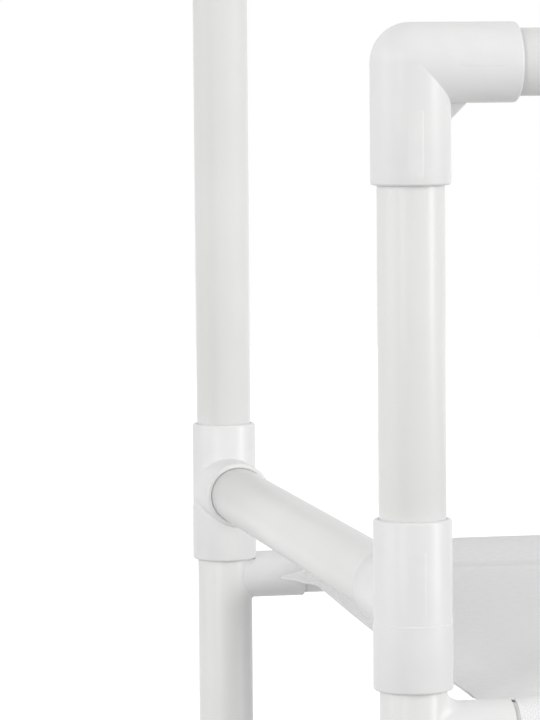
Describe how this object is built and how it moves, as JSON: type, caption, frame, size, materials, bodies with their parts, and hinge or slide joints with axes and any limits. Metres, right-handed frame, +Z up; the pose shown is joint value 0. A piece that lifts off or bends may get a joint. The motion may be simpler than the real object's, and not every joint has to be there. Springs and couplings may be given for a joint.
{
  "type": "clothes rack",
  "caption": "Free-standing white tube clothes rack with a hanging rail on a tall rear frame, a low front frame with a guard rail and cloth shelves sleeved over thin tubes.",
  "frame": {"origin": "centre of the rack's footprint, on the floor under the foot caps", "axes": "+Z up along the posts, +X to the rack's right along the hanging rail, +Y to the back, from the low front frame to the tall rear frame"},
  "size_m": [0.9096, 0.4134, 1.5948],
  "materials": {
    "tube_paint": "white satin powder coat on steel tube",
    "fitting_plastic": "white injection-moulded plastic with a soft sheen",
    "foot_plastic": "white moulded plastic, matt",
    "shelf_cloth": "white plain-weave polyester cloth",
    "screw_steel": "zinc-plated steel"
  },
  "bodies": {
    "root": {"cup_screws": "screw_steel", "front_left_elbow": "fitting_plastic", "front_left_foot_cap": "foot_plastic", "front_left_post_lower": "tube_paint", "front_left_post_middle": "tube_paint", "front_left_post_upper": "tube_paint", "front_rail": "tube_paint", "front_right_elbow": "fitting_plastic", "front_right_foot_cap": "foot_plastic", "front_right_post_lower": "tube_paint", "front_right_post_middle": "tube_paint", "front_right_post_upper": "tube_paint", "hanging_rail": "tube_paint", "lower_front_left_cup": "fitting_plastic", "lower_front_left_tee": "fitting_plastic", "lower_front_right_cup": "fitting_plastic", "lower_front_right_tee": "fitting_plastic", "lower_front_shelf_tube": "tube_paint", "lower_left_side_tube": "tube_paint", "lower_rear_left_cup": "fitting_plastic", "lower_rear_left_tee": "fitting_plastic", "lower_rear_right_cup": "fitting_plastic", "lower_rear_right_tee": "fitting_plastic", "lower_rear_shelf_tube": "tube_paint", "lower_right_side_tube": "tube_paint", "lower_shelf_cloth": "shelf_cloth", "rear_left_elbow": "fitting_plastic", "rear_left_foot_cap": "foot_plastic", "rear_left_post_lower": "tube_paint", "rear_left_post_middle": "tube_paint", "rear_left_post_upper": "tube_paint", "rear_right_elbow": "fitting_plastic", "rear_right_foot_cap": "foot_plastic", "rear_right_post_lower": "tube_paint", "rear_right_post_middle": "tube_paint", "rear_right_post_upper": "tube_paint", "upper_front_left_cup": "fitting_plastic", "upper_front_left_tee": "fitting_plastic", "upper_front_right_cup": "fitting_plastic", "upper_front_right_tee": "fitting_plastic", "upper_front_shelf_tube": "tube_paint", "upper_left_side_tube": "tube_paint", "upper_rear_left_cup": "fitting_plastic", "upper_rear_left_tee": "fitting_plastic", "upper_rear_right_cup": "fitting_plastic", "upper_rear_right_tee": "fitting_plastic", "upper_rear_shelf_tube": "tube_paint", "upper_right_side_tube": "tube_paint", "upper_shelf_cloth": "shelf_cloth"}
  },
  "joints": []
}
